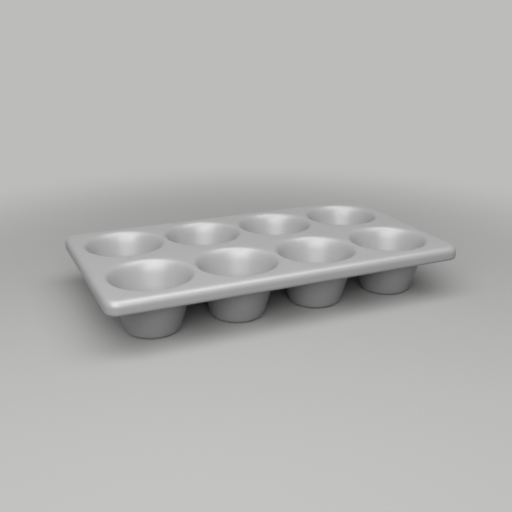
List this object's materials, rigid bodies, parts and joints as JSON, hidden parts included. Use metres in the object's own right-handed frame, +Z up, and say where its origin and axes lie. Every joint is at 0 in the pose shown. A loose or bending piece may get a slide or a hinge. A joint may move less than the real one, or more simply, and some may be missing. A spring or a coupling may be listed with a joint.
{
  "type": "muffin tray",
  "caption": "Moulded silicone muffin tray with rows of tapered round cups in a flat deck, a thick rim, and a wire frame in the rim and under the deck.",
  "frame": {"origin": "centre of the tray in plan, on the surface that its cups stand on", "axes": "+X along the tray's length, +Y across it, +Z up out of the cups' mouths"},
  "size_m": [0.36, 0.2022, 0.0546],
  "materials": {
    "silicone": "matte, light grey, fine moulded grain",
    "stainless_wire": "drawn wire, bare"
  },
  "bodies": {
    "root": {"tray_moulding": "silicone", "rim_hoop": "stainless_wire", "cross_wire_left": "stainless_wire", "cross_wire_centre": "stainless_wire", "cross_wire_right": "stainless_wire"}
  },
  "joints": []
}
